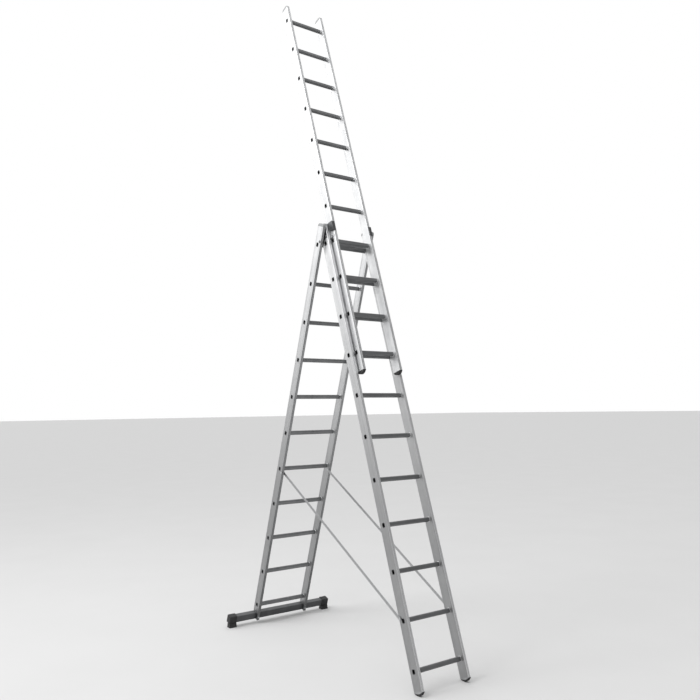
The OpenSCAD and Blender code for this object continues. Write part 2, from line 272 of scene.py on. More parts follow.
class Shader:
    """A material whose nodes are added one line at a time."""

    def __init__(self, name):
        self.material = bpy.data.materials.new(name)
        self.material.use_nodes = True
        self.tree = self.material.node_tree
        self.surface = self.tree.nodes["Principled BSDF"]
        self.place = self.node("ShaderNodeTexCoord").outputs["Object"]

    def node(self, kind, **settings):
        made = self.tree.nodes.new(kind)
        for key, value in settings.items():
            setattr(made, key, value)
        return made

    def link(self, source, target):
        self.tree.links.new(source, target)

    def stretched(self, scale):
        made = self.node("ShaderNodeMapping")
        made.inputs["Scale"].default_value = scale
        self.link(self.place, made.inputs["Vector"])
        return made.outputs["Vector"]

    def noise(self, scale, detail=3.0, roughness=0.55, place=None):
        made = self.node("ShaderNodeTexNoise")
        made.inputs["Scale"].default_value = scale
        made.inputs["Detail"].default_value = detail
        made.inputs["Roughness"].default_value = roughness
        self.link(place or self.place, made.inputs["Vector"])
        return made.outputs["Fac"]

    def cells(self, scale, place=None):
        made = self.node("ShaderNodeTexVoronoi")
        made.inputs["Scale"].default_value = scale
        self.link(place or self.place, made.inputs["Vector"])
        return made.outputs["Color"]

    def remap(self, value, low, high, to_low, to_high):
        made = self.node("ShaderNodeMapRange")
        made.inputs["From Min"].default_value = low
        made.inputs["From Max"].default_value = high
        made.inputs["To Min"].default_value = to_low
        made.inputs["To Max"].default_value = to_high
        self.link(value, made.inputs["Value"])
        return made.outputs["Result"]

    def mix_colour(self, factor, first, second):
        """A blend of two colours; each one is a socket or a grey or RGB value."""
        made = self.node("ShaderNodeMix", data_type="RGBA")
        self.link(factor, made.inputs["Factor"])
        for socket, value in (("A", first), ("B", second)):
            target = [s for s in made.inputs if s.name == socket and s.type == "RGBA"][0]
            if isinstance(value, bpy.types.NodeSocket):
                self.link(value, target)
            else:
                target.default_value = (*value, 1)
        return [s for s in made.outputs if s.type == "RGBA"][0]

    def add(self, first, second, operation="ADD"):
        made = self.node("ShaderNodeMath", operation=operation)
        for socket, value in zip(made.inputs, (first, second)):
            if isinstance(value, bpy.types.NodeSocket):
                self.link(value, socket)
            else:
                socket.default_value = value
        return made.outputs["Value"]

    def bump(self, height, distance, strength=1.0):
        made = self.node("ShaderNodeBump")
        made.inputs["Distance"].default_value = distance
        made.inputs["Strength"].default_value = strength
        self.link(height, made.inputs["Height"])
        self.link(made.outputs["Normal"], self.surface.inputs["Normal"])

    def set(self, **values):
        for key, value in values.items():
            socket = self.surface.inputs[key.replace("_", " ").title().replace("Ior", "IOR")]
            if isinstance(value, bpy.types.NodeSocket):
                self.link(value, socket)
            else:
                socket.default_value = value


def extruded_aluminium(name, light, dark, grain, low_rough, high_rough, painted_by_height=None):
    """Mill-finish aluminium: die lines along the profile, handling marks and a film in patches.
    The last argument is (colour factor low down, height where that factor is full, height of the plain
    colour), with heights in metres up from the top rung. It is painted shade where the factor is below 1 and
    painted light where it is above 1, standing for uneven light on the real ladder, not for wear."""
    shader = Shader(name)
    lines = shader.noise(1.0, 4.0, 0.6, shader.stretched(grain))
    broad_lines = shader.noise(0.22, 2.0, 0.5, shader.stretched(grain))
    patches = shader.noise(9.0, 5.0, 0.65)
    marks = shader.noise(70.0, 6.0, 0.7, shader.stretched((1.0, 1.0, 0.35)))
    film = shader.remap(patches, 0.35, 0.7, 0.0, 1.0)
    streaked = shader.remap(broad_lines, 0.3, 0.7, 0.0, 1.0)
    tint = shader.add(shader.add(film, 0.6, "MULTIPLY"), shader.add(streaked, 0.4, "MULTIPLY"))
    scuffs = shader.remap(marks, 0.66, 0.74, 0.0, 0.55)
    plain = shader.mix_colour(tint, light, dark)
    # Painted shade and light by height: low down the colour is scaled by the factor, and it blends back to
    # the plain colour higher up.
    if painted_by_height:
        factor, full_paint_height, plain_height = painted_by_height
        height = shader.node("ShaderNodeSeparateXYZ")
        shader.link(shader.place, height.inputs[0])
        share = shader.remap(height.outputs["Z"], full_paint_height, plain_height, 0.0, 1.0)
        share = shader.add(share, shader.remap(patches, 0.3, 0.7, -0.06, 0.06))
        light_tint_painted = tuple(factor * c for c in light)
        dark_tint_painted = tuple(factor * c for c in dark)
        painted_low_colour = shader.mix_colour(tint, light_tint_painted, dark_tint_painted)
        plain = shader.mix_colour(share, painted_low_colour, plain)
    scuffed = tuple(0.55 * c for c in dark)
    roughness = shader.remap(lines, 0.25, 0.75, low_rough, high_rough)
    roughness = shader.add(roughness, shader.add(film, 0.08, "MULTIPLY"))
    shader.set(
        base_color=shader.mix_colour(scuffs, plain, scuffed),
        metallic=1.0,
        roughness=shader.add(roughness, shader.add(scuffs, 0.25, "MULTIPLY")),
    )
    shader.bump(lines, 0.00006)
    return shader.material


def zinc_plated(name, light, dark):
    """Zinc-plated steel with a faint spangle and rubbed patches."""
    shader = Shader(name)
    spangle = shader.remap(shader.cells(260.0), 0.0, 1.0, 0.0, 0.5)
    worn = shader.remap(shader.noise(90.0, 5.0, 0.65), 0.4, 0.7, 0.0, 0.5)
    tint = shader.add(spangle, worn)
    shader.set(
        base_color=shader.mix_colour(tint, light, dark),
        metallic=1.0,
        roughness=shader.remap(tint, 0.0, 1.0, 0.3, 0.52),
    )
    shader.bump(shader.noise(700.0, 3.0), 0.00004)
    return shader.material


def powder_coated(name, colour, rubbed):
    """Painted metal with orange peel, dust and a few rubbed spots."""
    shader = Shader(name)
    peel = shader.noise(650.0, 2.0, 0.45)
    dust = shader.remap(shader.noise(9.0, 5.0, 0.6), 0.45, 0.75, 0.0, 0.5)
    spots = shader.remap(shader.noise(160.0, 5.0, 0.7), 0.68, 0.74, 0.0, 0.6)
    dusty = tuple(min(1.0, 1.6 * c + 0.02) for c in colour)
    shader.set(
        base_color=shader.mix_colour(spots, shader.mix_colour(dust, colour, dusty), rubbed),
        roughness=shader.remap(peel, 0.3, 0.7, 0.34, 0.5),
    )
    shader.bump(peel, 0.00012)
    return shader.material


def moulded(name, colour, grain_scale, low_rough, high_rough, depth):
    """Moulded plastic or rubber with a fine grain and pale dust in patches."""
    shader = Shader(name)
    grain = shader.noise(grain_scale, 4.0, 0.6)
    dust = shader.remap(shader.noise(28.0, 5.0, 0.65), 0.45, 0.8, 0.0, 0.6)
    dusty = tuple(min(1.0, 1.5 * c + 0.025) for c in colour)
    shader.set(
        base_color=shader.mix_colour(dust, colour, dusty),
        roughness=shader.remap(grain, 0.3, 0.7, low_rough, high_rough),
    )
    shader.bump(grain, depth)
    return shader.material


STILE_LIGHT = (0.84, 0.845, 0.85)
STILE_DARK = (0.62, 0.625, 0.635)
STILE_GRAIN = (700.0, 700.0, 2.5)
# Painted shade: the stiles' front and rear flange faces get darker copies of the stile aluminium, one for
# each section.
SHADED_EDGE_LIGHT = (0.5, 0.504, 0.51)
SHADED_EDGE_DARK = (0.4, 0.404, 0.41)
# Painted shade: the rear section's flanges are darker still, and darken to half from 1.0 m to 2.6 m below the
# top rung.
REAR_SHADED_EDGE_LIGHT = (0.32, 0.323, 0.328)
REAR_SHADED_EDGE_DARK = (0.24, 0.243, 0.248)
# Painted shade and light: the front section's flanges are darker than the stile faces, and grow 1.35 times
# lighter from 1.0 m to 2.6 m below the top rung.
FRONT_SHADED_EDGE_LIGHT = (0.66, 0.664, 0.67)
FRONT_SHADED_EDGE_DARK = (0.54, 0.544, 0.55)
# Painted shade: front and rear stile faces darken to 0.48 of their colour, from just above the top rung down
# to 2.1 m below it.
STILE_PAINTED_SHADE = (0.48, -2.1, 0.1)
REAR_EDGE_PAINTED_SHADE = (0.5, -2.6, -1.0)
FRONT_EDGE_PAINTED_LIGHT = (1.35, -2.6, -1.0)
# Painted shade: the rungs are the stiles' aluminium made dark, for the dark surroundings that their front
# faces reflect.
SHADED_RUNG_LIGHT = (0.24, 0.243, 0.247)
SHADED_RUNG_DARK = (0.16, 0.163, 0.167)
RUNG_GRAIN = (3.0, 800.0, 800.0)
BEAD_GRAIN = (90.0, 90.0, 90.0)
# The front and rear stiles use the material with painted shade towards the feet; the top section's stiles
# have none.
stile_metal = {
    "top": extruded_aluminium("stile_aluminium", STILE_LIGHT, STILE_DARK, STILE_GRAIN, 0.24, 0.4),
    "front": extruded_aluminium(
        "shade_painted_stile_aluminium", STILE_LIGHT, STILE_DARK, STILE_GRAIN, 0.24, 0.4, STILE_PAINTED_SHADE
    ),
}
stile_metal["rear"] = stile_metal["front"]
shaded_edge_metal = {
    "top": extruded_aluminium("shade_painted_edge_aluminium", SHADED_EDGE_LIGHT, SHADED_EDGE_DARK, STILE_GRAIN, 0.3, 0.46),
    "rear": extruded_aluminium(
        "shade_painted_rear_edge_aluminium", REAR_SHADED_EDGE_LIGHT, REAR_SHADED_EDGE_DARK, STILE_GRAIN, 0.34, 0.5, REAR_EDGE_PAINTED_SHADE
    ),
}
shaded_edge_metal["front"] = extruded_aluminium(
    "shade_and_light_painted_front_edge_aluminium", FRONT_SHADED_EDGE_LIGHT, FRONT_SHADED_EDGE_DARK, STILE_GRAIN, 0.3, 0.46, FRONT_EDGE_PAINTED_LIGHT
)
shaded_rung_metal = extruded_aluminium("shade_painted_rung_aluminium", SHADED_RUNG_LIGHT, SHADED_RUNG_DARK, RUNG_GRAIN, 0.3, 0.46)
zinc = zinc_plated("zinc_steel", (0.62, 0.63, 0.64), (0.4, 0.41, 0.42))
dark_zinc = zinc_plated("dark_zinc_steel", (0.2, 0.205, 0.21), (0.11, 0.113, 0.118))
# Painted highlight: the inward-looking faces of each rung's end bead get the pale stile aluminium.
bead_highlight_metal = extruded_aluminium("highlight_painted_bead_aluminium", STILE_LIGHT, STILE_DARK, BEAD_GRAIN, 0.2, 0.34)
brace_metal = zinc_plated("brace_steel", (0.46, 0.464, 0.47), (0.32, 0.324, 0.33))
coating = powder_coated("dark_coating", (0.062, 0.064, 0.067), (0.3, 0.3, 0.3))
plug_plastic = moulded("grey_plastic", (0.3, 0.305, 0.31), 900.0, 0.42, 0.62, 0.00005)
dark_plastic = moulded("dark_plastic", (0.05, 0.051, 0.053), 900.0, 0.38, 0.58, 0.00005)
rubber = moulded("rubber", (0.017, 0.017, 0.018), 1200.0, 0.55, 0.8, 0.00008)


# ---------------------------------------------------------------- stiles

GROOVE_DEPTH = 0.45
GROOVE_WIDTH = 1.0
GROOVE_SLOPE = 0.5
WIDE_GROOVES = (-27.5, -24.0, -20.5, 20.5, 24.0, 27.5)
NARROW_GROOVES = (-3.6, 0.0, 3.6)


def side_stations(length, grooves):
    """(place, recess) along a flat side, with a shallow groove at each given place."""
    stations = [(-length / 2, 0.0)]
    half = GROOVE_WIDTH / 2
    for groove in grooves:
        stations.append((groove - half - GROOVE_SLOPE, 0.0))
        stations.append((groove - half, GROOVE_DEPTH))
        stations.append((groove + half, GROOVE_DEPTH))
        stations.append((groove + half + GROOVE_SLOPE, 0.0))
    stations.append((length / 2, 0.0))
    return stations


def stile_outline():
    """(x, y, normal x, normal y, recess) round the profile of a stile."""
    half_width, half_depth = STILE_WIDTH / 2, STILE_DEPTH / 2
    flats = (
        (Vector((half_width, 0)), Vector((0, 1)), STILE_DEPTH, WIDE_GROOVES),
        (Vector((0, half_depth)), Vector((-1, 0)), STILE_WIDTH, NARROW_GROOVES),
        (Vector((-half_width, 0)), Vector((0, -1)), STILE_DEPTH, WIDE_GROOVES),
        (Vector((0, -half_depth)), Vector((1, 0)), STILE_WIDTH, NARROW_GROOVES),
    )
    outline = []
    for middle, along, length, grooves in flats:
        normal = middle.normalized()
        for place, recess in side_stations(length - 2 * STILE_CORNER, grooves):
            point = middle + along * place
            outline.append((point.x, point.y, normal.x, normal.y, recess))
        corner = middle + along * (length / 2 - STILE_CORNER) - normal * STILE_CORNER
        for i in range(1, 5):
            angle = math.radians(90 * i / 5)
            out = normal * math.cos(angle) + along * math.sin(angle)
            point = corner + out * STILE_CORNER
            outline.append((point.x, point.y, out.x, out.y, 0.0))
    return outline


STILE_OUTLINE = stile_outline()


def stile_ring(z, offset, grooved=1.0, centre_x=0.0):
    ring = []
    for x, y, normal_x, normal_y, recess in STILE_OUTLINE:
        out = offset - recess * grooved
        ring.append((centre_x + x + normal_x * out, y + normal_y * out, z))
    return ring


def make_stile(section, side_name):
    low, high = STILE[section]
    middle = (low.x + high.x) / 2
    shape = loft(
        [
            stile_ring(low.z, 0.0, 1.0, middle),
            stile_ring(high.z, 0.0, 1.0, middle),
            stile_ring(high.z, -STILE_WALL, 0.0, middle),
            stile_ring(low.z, -STILE_WALL, 0.0, middle),
        ],
        wrap=True,
    )
    side = SIDES[side_name]
    node = f"{section}_stile_{side_name}"
    obj = make_object(node + "_extrusion", shape, MATRIX[section], side)
    hole_gap = 0.1
    hole = rounded_rectangle(
        RUNG_HIGH.y - RUNG_LOW.y - 2 * BEAD_MARGIN + 2 * hole_gap,
        RUNG_HIGH.z - RUNG_LOW.z - 2 * BEAD_MARGIN + 2 * hole_gap,
        RUNG_CORNER,
    )
    cutters = []
    for level in range(1, RUNGS + 1):
        cutter = along_x(hole, low.x - STILE_WIDTH, high.x + STILE_WIDTH)
        cutters.append(placed(cutter, at(z=rung_height(section, level))))
    if section == "rear":
        notch_front = local_box("stabiliser_brackets", "rear")[0].y
        notch_top = local_box("stabiliser_bar", "rear")[1].z
        corner = (low.x - STILE_WIDTH, notch_front, low.z - 1)
        cutters.append(box_shape(corner, (high.x + STILE_WIDTH, STILE_DEPTH, notch_top)))
    combine(obj, merged(*cutters), MATRIX[section], side)
    soften(obj)
    finish_piece(obj, BODY[section], stile_metal[section], [node])
    # Painted shade: faces that look to the front or rear, the flanges, get the darker flange copy.
    obj.data.materials.append(shaded_edge_metal[section])
    for face in obj.data.polygons:
        face.material_index = 1 if abs(face.normal.y) > 0.8 else 0


# ---------------------------------------------------------------- rungs

RUNG_CORNER = 7.0
RUNG_WALL = 1.6
BEAD_MARGIN = 2.0
BEAD_THICKNESS = 1.8
FLARE_MARGIN = 1.3
FLARE_THICKNESS = 1.2
TREAD_PITCH = 2.3
TREAD_RIBS = 4
TREAD_CREST = 0.55
TREAD_SLOPE = 0.3
TREAD_DEPTH = 0.8
SIDE_GROOVE = 2.2
RUNG_DEPTH = RUNG_HIGH.y - RUNG_LOW.y - 2 * BEAD_MARGIN
RUNG_TALL = RUNG_HIGH.z - RUNG_LOW.z - 2 * BEAD_MARGIN


def rung_quarter():
    """(y, z, normal y, normal z, recess) from the middle of the tread to the middle of a side."""
    flat = RUNG_DEPTH / 2 - RUNG_CORNER
    top = RUNG_TALL / 2
    stations = []
    for rib in range(TREAD_RIBS):
        crest_end = rib * TREAD_PITCH + TREAD_CREST
        crest_start = (rib + 1) * TREAD_PITCH - TREAD_CREST
        stations.append((crest_end, 0.0))
        stations.append((crest_end + TREAD_SLOPE, TREAD_DEPTH))
        stations.append((crest_start - TREAD_SLOPE, TREAD_DEPTH))
        stations.append((crest_start, 0.0))
    quarter = []
    for y, recess in stations:
        lean = math.asin(max(0.0, y - flat) / RUNG_CORNER)
        drop = RUNG_CORNER * (1 - math.cos(lean))
        quarter.append((y, top - drop, math.sin(lean), math.cos(lean), recess))
    last = math.asin((stations[-1][0] - flat) / RUNG_CORNER)
    for i in range(1, 5):
        lean = last + (math.pi / 2 - last) * i / 4
        y = flat + RUNG_CORNER * math.sin(lean)
        z = top - RUNG_CORNER * (1 - math.cos(lean))
        quarter.append((y, z, math.sin(lean), math.cos(lean), 0.0))
    quarter.append((RUNG_DEPTH / 2, SIDE_GROOVE + TREAD_SLOPE, 1.0, 0.0, 0.0))
    quarter.append((RUNG_DEPTH / 2, SIDE_GROOVE, 1.0, 0.0, TREAD_DEPTH / 2))
    return quarter


def rung_outline():
    quarter = rung_quarter()
    turned = list(reversed(quarter))
    outline = list(quarter)
    outline += [(y, -z, ny, -nz, recess) for y, z, ny, nz, recess in turned]
    outline += [(-y, -z, -ny, -nz, recess) for y, z, ny, nz, recess in quarter]
    outline += [(-y, z, -ny, nz, recess) for y, z, ny, nz, recess in turned]
    return outline


RUNG_OUTLINE = rung_outline()


def rung_ring(x, z, offset, ribbed):
    ring = []
    for y, local_z, normal_y, normal_z, recess in RUNG_OUTLINE:
        out = offset - recess * ribbed
        ring.append((x, y + normal_y * out, z + local_z + normal_z * out))
    return ring


def make_rung(section, level):
    outer = STILE[section][1].x
    inner = STILE[section][0].x
    lip = outer + FLARE_THICKNESS
    bead = inner - BEAD_THICKNESS
    # (place on X, offset from the tube's outline, share of the tread's ribs), from the bore out
    end = (
        (outer - 4.0, -RUNG_WALL, 0.0),
        (outer, -RUNG_WALL + 0.1, 0.0),
        (lip - 0.35, -1.15, 0.0),
        (lip, -0.5, 0.0),
        (lip, 0.35, 0.0),
        (lip - 0.4, 1.1, 0.0),
        (outer, FLARE_MARGIN, 0.0),
        (outer - 0.02, 0.0, 0.0),
        (inner + 0.02, 0.0, 0.0),
        (inner, BEAD_MARGIN - 0.5, 0.0),
        (inner - 0.35, BEAD_MARGIN, 0.0),
        (inner - 0.9, BEAD_MARGIN, 0.0),
        (inner - 1.45, BEAD_MARGIN - 0.55, 0.0),
        (bead, 0.25, 0.0),
        (bead - 0.4, 0.0, 0.0),
        (bead - 1.2, 0.0, 1.0),
    )
    z = rung_height(section, level)
    rings = [rung_ring(-x, z, offset, ribbed) for x, offset, ribbed in end]
    rings += [rung_ring(x, z, offset, ribbed) for x, offset, ribbed in reversed(end)]
    node = f"{section}_rung_{level:02d}"
    obj = make_object(node + "_tube", loft(rings, wrap=True), MATRIX[section])
    soften(obj, sharp_angle=40)
    finish_piece(obj, BODY[section], shaded_rung_metal, [node])
    # Painted highlight: the bead faces that look in along the rung take the pale bead material.
    obj.data.materials.append(bead_highlight_metal)
    for face in obj.data.polygons:
        on_bead_highlight = bead < abs(face.center.x) / MM < inner and face.normal.x * face.center.x < 0
        face.material_index = 1 if on_bead_highlight else 0


# ---------------------------------------------------------------- end plugs and soles

PLUG_CROWN = 20.0
PLUG_SEAM = 0.5
PLUG_STEM = 20.0
PLUG_STEM_TIP = 24.0
PLUG_SIDE_NARROWING = 2.2


def plug_shape(low, high, seat):
    """A crowned cap whose stem goes into the stile."""
    middle = (low.x + high.x) / 2
    stem = -STILE_WALL - 0.1
    rings = [
        stile_ring(seat - PLUG_STEM_TIP, stem - 1.0, 0.0, middle),
        stile_ring(seat - PLUG_STEM, stem, 0.0, middle),
        stile_ring(seat, stem, 0.0, middle),
        stile_ring(seat, -PLUG_SEAM, 0.0, middle),
        stile_ring(seat + PLUG_SEAM, -PLUG_SEAM, 0.0, middle),
        stile_ring(seat + PLUG_SEAM, 0.0, 0.0, middle),
    ]
    steps = 8
    for i in range(steps + 1):
        lean = math.radians(90 * i / steps)
        rise = PLUG_CROWN * math.sin(lean)
        narrowing_y = PLUG_CROWN * (1 - math.cos(lean))
        narrowing_x = PLUG_SIDE_NARROWING * (1 - math.cos(lean))
        scale_x = 1 - narrowing_x / (STILE_WIDTH / 2)
        scale_y = 1 - narrowing_y / (STILE_DEPTH / 2)
        ring = stile_ring(high.z - PLUG_CROWN + rise, 0.0, 0.0)
        rings.append([(middle + x * scale_x, y * scale_y, z) for x, y, z in ring])
    return loft(rings)


SOLE_RADIUS = 42.0
SOLE_GROOVES = (-24.5, -17.5, -10.5, -3.5, 3.5, 10.5, 17.5, 24.5)
SOLE_GROOVE_HALF = 1.3
SOLE_GROOVE_RISE = 2.2
SHOE_RADIUS = 72.0
SHOE_RISE = 11.0
SHOE_MARGIN = 1.0


def underside(y):
    """Height of the round underside above its lowest place."""
    return SOLE_RADIUS - math.sqrt(SOLE_RADIUS * SOLE_RADIUS - y * y)


def shoe_underside(y):
    """Height of the joint between a grey shoe and its thin sole."""
    return SHOE_RISE + SHOE_RADIUS - math.sqrt(SHOE_RADIUS * SHOE_RADIUS - y * y)


def even_steps(start, end, count):
    return [start + (end - start) * i / count for i in range(count + 1)]


def tread_outline(half):
    """The grooved underside from front to rear."""
    outline = []
    for y in even_steps(-half, SOLE_GROOVES[0] - 2.5, 5):
        outline.append((y, underside(y)))
    for groove in SOLE_GROOVES:
        for y, rise in (
            (groove - SOLE_GROOVE_HALF, 0.0),
            (groove - SOLE_GROOVE_HALF + 0.5, SOLE_GROOVE_RISE),
            (groove + SOLE_GROOVE_HALF - 0.5, SOLE_GROOVE_RISE),
            (groove + SOLE_GROOVE_HALF, 0.0),
        ):
            outline.append((y, underside(y) + rise))
    for y in even_steps(SOLE_GROOVES[-1] + 2.5, half, 5):
        outline.append((y, underside(y)))
    return outline


def sole_shape(low, top):
    """A solid rubber sole that fills the round foot."""
    half = STILE_DEPTH / 2
    outline = tread_outline(half) + [(half, top - low.z), (-half, top - low.z)]
    return placed(along_x(outline, 0, STILE_WIDTH), at(low.x, 0, low.z))


def thin_sole_shape(low):
    """A thin rubber sole that wraps the round foot."""
    half = STILE_DEPTH / 2 - SHOE_MARGIN
    outline = tread_outline(half) + [(y, shoe_underside(y)) for y in even_steps(half, -half, 20)]
    return placed(along_x(outline, 0, STILE_WIDTH), at(low.x, 0, low.z))


def shoe_shape(low, top):
    """The plastic shoe between the thin sole and the stile's end."""
    half = STILE_DEPTH / 2
    outline = [(y, shoe_underside(y)) for y in even_steps(-half, half, 20)]
    outline += [(half, top - low.z), (-half, top - low.z)]
    return placed(along_x(outline, 0, STILE_WIDTH), at(low.x, 0, low.z))


def make_plugs(section, node):
    for side_name, side in SIDES.items():
        low, high = local_box(node, section)
        low.x = STILE[section][0].x
        shape = plug_shape(low, high, STILE[section][1].z)
        name = f"{section}_plug_{side_name}"
        make_small_piece(name, shape, section, side, plug_plastic, node)


def make_soles(section, node, with_shoe):
    top = STILE[section][0].z
    for side_name, side in SIDES.items():
        low, _ = local_box(node, section)
        low.x = STILE[section][0].x
        shape = thin_sole_shape(low) if with_shoe else sole_shape(low, top)
        obj = make_object(f"{section}_sole_{side_name}", shape, MATRIX[section], side)
        soften(obj, bevel=0.4)
        finish_piece(obj, BODY[section], rubber, [node])
        if with_shoe:
            obj = make_object(f"{section}_shoe_{side_name}", shoe_shape(low, top), MATRIX[section], side)
            soften(obj, bevel=0.3)
            finish_piece(obj, BODY[section], plug_plastic, [node])


# ---------------------------------------------------------------- stabiliser


BAR_LOW, BAR_HIGH = local_box("stabiliser_bar", "rear")
BAR_DEPTH = BAR_HIGH.y - BAR_LOW.y
BAR_TALL = BAR_HIGH.z - BAR_LOW.z
BAR_Y = (BAR_LOW.y + BAR_HIGH.y) / 2
BAR_Z = (BAR_LOW.z + BAR_HIGH.z) / 2
BAR_CORNER = 3.0
BAR_WALL = 2.0
CAP_WALL = 5.0
CAP_CORNER = 6.0
CAP_ROUND_END = 5.0
CAP_BAND_STARTS = (9.0, 19.0)
CAP_BAND_PROFILE = ((0.0, 0.0), (0.6, 0.8), (3.0, 0.8), (3.6, 0.0))
FOOT_LENGTH = 60.0
PAD_HALF = 24.0
PAD_GROOVES = 6
PAD_GROOVE_RISE = 1.6
PAD_GROOVE_HALF = 1.2
PAD_GROOVE_SLOPE = 0.4
PAD_EDGE = 9.0
PAD_SHOULDER = 13.0
PAD_TOP = 30.0
PAD_DRAW_IN = 4.0


def bar_ring(x, offset, radius):
    """The bar's outline, moved out (or in, if negative) by an offset."""
    outline = rounded_rectangle(BAR_DEPTH + 2 * offset, BAR_TALL + 2 * offset, radius, 8)
    return [(x, BAR_Y + y, BAR_Z + z) for y, z in outline]


def make_bar():
    reach = BAR_HIGH.x
    rings = [
        bar_ring(-reach, 0.0, BAR_CORNER),
        bar_ring(reach, 0.0, BAR_CORNER),
        bar_ring(reach, -BAR_WALL, BAR_CORNER - BAR_WALL / 2),
        bar_ring(-reach, -BAR_WALL, BAR_CORNER - BAR_WALL / 2),
    ]
    obj = make_object("stabiliser_tube", loft(rings, wrap=True), MATRIX["rear"])
    soften(obj)
    finish_piece(obj, BODY["rear"], coating, ["stabiliser_bar"])


def cap_shape(x_in, x_out):
    """A moulded cap round the bar's end, with two shallow bands and a rounded closed end."""
    bands = [(x_in, 1.0), (x_in + 0.8, 0.2), (x_in + 2.0, 0.0)]
    for start in CAP_BAND_STARTS:
        bands += [(x_in + (start + x), inset) for x, inset in CAP_BAND_PROFILE]
    steps = 6
    for i in range(steps + 1):
        lean = math.radians(90 * i / steps)
        x = x_out - CAP_ROUND_END + CAP_ROUND_END * math.sin(lean)
        bands.append((x, CAP_ROUND_END * (1 - math.cos(lean))))
    return loft([bar_ring(x, CAP_WALL - inset, CAP_CORNER) for x, inset in bands])


def pad_shape(x_in, x_out, low_y, high_y):
    """The pad under a cap, in the CAD frame: grooved underneath and drawn in towards the cap."""
    pitch = (high_y - low_y) / PAD_GROOVES
    outline = [(low_y, 0.0)]
    for i in range(1, PAD_GROOVES):
        y = low_y + i * pitch
        outline.append((y - PAD_GROOVE_HALF, 0.0))
        outline.append((y - PAD_GROOVE_HALF + PAD_GROOVE_SLOPE, PAD_GROOVE_RISE))
        outline.append((y + PAD_GROOVE_HALF - PAD_GROOVE_SLOPE, PAD_GROOVE_RISE))
        outline.append((y + PAD_GROOVE_HALF, 0.0))
    inner_low = low_y + PAD_DRAW_IN
    inner_high = high_y - PAD_DRAW_IN
    outline += [(high_y, 0.0), (high_y, PAD_EDGE), (inner_high, PAD_SHOULDER), (inner_high, PAD_TOP)]
    outline += [(inner_low, PAD_TOP), (inner_low, PAD_SHOULDER), (low_y, PAD_EDGE)]
    return along_x(outline, x_in, x_out)


def make_foot(side_name):
    side = SIDES[side_name]
    x_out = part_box("stabiliser_feet")[1].x / MM
    x_in = x_out - FOOT_LENGTH
    gap = 0.05
    axis = MATRIX["rear"] @ (Vector((0, BAR_Y, BAR_Z)) * MM)
    middle_y = axis.y / MM
    obj = make_object(f"stabiliser_foot_{side_name}", cap_shape(x_in, x_out), MATRIX["rear"], side)
    pad = pad_shape(x_in + 1.0, x_out - 2.0, middle_y - PAD_HALF, middle_y + PAD_HALF)
    combine(obj, pad, Matrix.Identity(4), side, "UNION")
    inside = loft([bar_ring(x, gap, BAR_CORNER) for x in (x_in - 2.0, x_out - CAP_WALL)])
    combine(obj, inside, MATRIX["rear"], side)
    soften(obj, bevel=0.5)
    finish_piece(obj, BODY["rear"], rubber, ["stabiliser_feet"])


# ---------------------------------------------------------------- bolts, pins and rivets


def hex_head(start, height, half_flats, direction=1):
    """A hexagonal head with a turned chamfer and a washer face."""
    steps = 48
    rings = []
    crown = half_flats * 1.02
    unlimited = 99.0
    for x, limit in (
        (0.0, half_flats * 0.97),
        (0.35, unlimited),
        (height - 1.2, unlimited),
        (height - 0.5, half_flats * 1.08),
        (height, half_flats * 0.9),
    ):
        ring = []
        for i in range(steps):
            angle = 2 * math.pi * i / steps
            sector = math.pi / 3
            reach = half_flats / math.cos((angle + sector / 2) % sector - sector / 2)
            reach = min(reach, limit, crown * 1.12)
            ring.append((start + direction * x, reach * math.cos(angle), reach * math.sin(angle)))
        rings.append(ring)
    return loft(rings)


def threaded_shank(x_from, x_to, radius, pitch=1.25):
    """A shank with ring-shaped threads and a chamfered tip at x_to."""
    direction = 1 if x_to > x_from else -1
    length = abs(x_to - x_from)
    profile = [(x_from, radius - 0.1)]
    turns = int((length - 1.5) / pitch)
    for i in range(turns):
        x = x_from + direction * (0.2 + i * pitch)
        profile.append((x, radius - 0.45))
        profile.append((x + direction * pitch * 0.45, radius))
    profile.append((x_to - direction * 0.9, radius - 0.3))
    profile.append((x_to, radius - 1.0))
    return turned_shape(profile, 32)


def washer(x_from, thickness, radius):
    bevel = 0.25
    return turned_shape(
        [
            (x_from, radius - bevel),
            (x_from + bevel, radius),
            (x_from + thickness - bevel, radius),
            (x_from + thickness, radius - bevel),
        ]
    )


def domed_head(x_from, height, radius, direction=1):
    """A domed rivet or pin head that stands on x_from."""
    profile = [(x_from, radius - 0.1), (x_from + direction * 0.25, radius)]
    steps = 6
    for i in range(1, steps + 1):
        lean = math.radians(90 * i / steps * 0.93)
        rise = 0.25 + (height - 0.25) * math.sin(lean)
        profile.append((x_from + direction * rise, radius * math.cos(lean)))
    profile[-1] = (x_from + direction * height, profile[-1][1])
    return turned_shape(profile)


def plain_pin(x_from, x_to, radius):
    return turned_shape([(x_from, radius), (x_to, radius)], 40)


def dimpled_head(x_from, height, radius):
    """A riveted-over pin head with a shallow dimple."""
    return turned_shape(
        [
            (x_from, radius - 0.3),
            (x_from + 0.3, radius),
            (x_from + height * 0.55, radius),
            (x_from + height, radius * 0.72),
            (x_from + height, radius * 0.42),
            (x_from + height - 0.6, radius * 0.3),
        ]
    )


# ---------------------------------------------------------------- stance of the braces and fittings

BRACE_LOW, BRACE_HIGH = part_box("brace_right")
JOINTS = {joint["name"]: joint for joint in frame["record"]["behaviour"]["joints"]}
HINGE_PIN = Vector(JOINTS["rear_section_fold"]["pos_m"])
HOOK_PIN = Vector(JOINTS["hook_right_lift"]["pos_m"])
BRACE_PIN = Vector(JOINTS["brace_right_swing"]["pos_m"])
STUD = centre("brace_hook_studs")


def in_section(section, place):
    return MATRIX[section].inverted() @ place / MM


